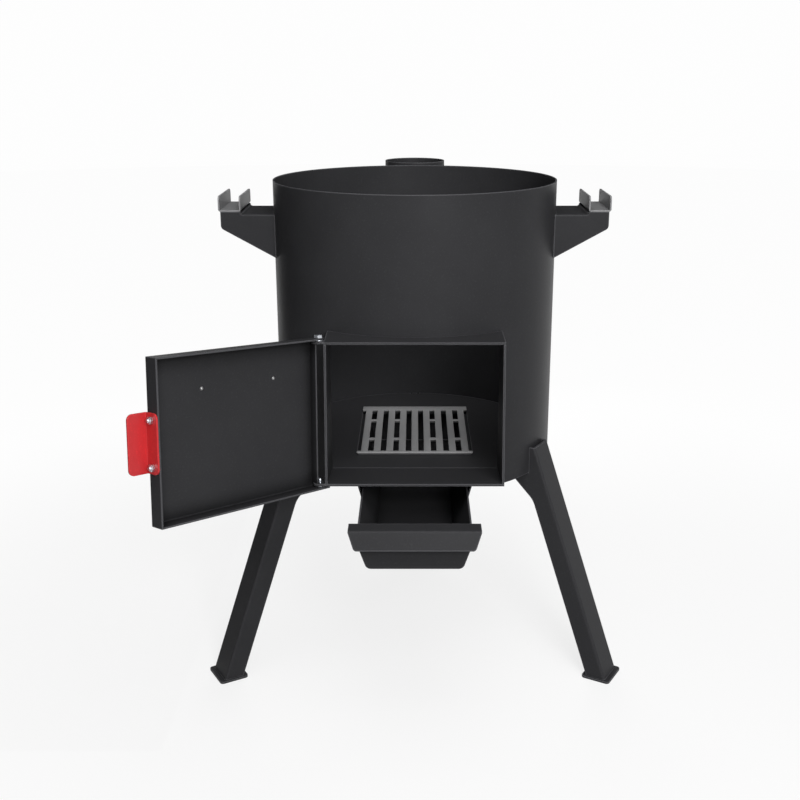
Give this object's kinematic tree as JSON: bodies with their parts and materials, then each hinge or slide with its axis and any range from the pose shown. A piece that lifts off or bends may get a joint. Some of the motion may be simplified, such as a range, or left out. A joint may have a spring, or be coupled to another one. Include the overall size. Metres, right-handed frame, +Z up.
{
  "type": "cauldron stove",
  "caption": "Round sheet-steel wood stove for a cauldron on splayed channel legs, with a lipped swing door, loose grate, ash drawer, side cradles and a rear flue elbow.",
  "frame": {"origin": "on the floor under the drum's axis, level with the undersides of the feet", "axes": "+Z up along the drum's axis; the firebox mouth and the drawer face -Y; the flue is at +Y; the door's hinge is at -X"},
  "size_m": [0.6211, 0.7735, 0.7015],
  "materials": {
    "black_paint": "satin heat-resistant powder coat, dark grey",
    "grey_paint": "satin powder coat, mid grey",
    "red_paint": "satin red powder coat",
    "cast_grate": "bare cast grey",
    "zinc_steel": "bright zinc plate",
    "badge_steel": "plain brushed, blank"
  },
  "bodies": {
    "stove": {"drum_shell": "black_paint", "firebox_floor": "black_paint", "portal_top": "black_paint", "portal_bottom": "black_paint", "portal_left": "black_paint", "portal_right": "black_paint", "hinge_lug_top": "black_paint", "hinge_lug_bottom": "black_paint", "hinge_bolt": "zinc_steel", "hinge_stud": "zinc_steel", "hinge_washers": "zinc_steel", "ash_box": "black_paint", "ash_box_back": "black_paint", "leg_left": "black_paint", "leg_right": "black_paint", "leg_rear": "black_paint", "foot_left": "black_paint", "foot_right": "black_paint", "foot_rear": "black_paint", "bracket_left": "black_paint", "bracket_right": "black_paint", "cradle_left": "grey_paint", "cradle_right": "grey_paint", "flue_stub": "black_paint", "flue_elbow": "black_paint", "flue_collar": "black_paint"},
    "grate": {"grate": "cast_grate"},
    "drawer": {"drawer_tray": "black_paint", "drawer_back": "black_paint", "drawer_front": "black_paint"},
    "door": {"door_panel": "black_paint", "door_handle": "red_paint", "handle_bolts": "zinc_steel", "handle_nuts": "zinc_steel", "badge_plate": "badge_steel", "badge_rivets": "badge_steel"}
  },
  "joints": [
    {"name": "door_hinge", "type": "hinge", "parent": "stove", "child": "door", "pos_m": [-0.1233, -0.21892, 0.51648], "axis": [0, -0.1305, -0.9914], "range_deg": [-132, 38]},
    {"name": "drawer_slide", "type": "slide", "parent": "stove", "child": "drawer", "axis": [0, -1, 0], "range_m": [-0.122, 0.137]},
    {"name": "grate_lift", "type": "slide", "parent": "stove", "child": "grate", "axis": [0, 0, 1], "range_m": [0, 0.39]}
  ]
}
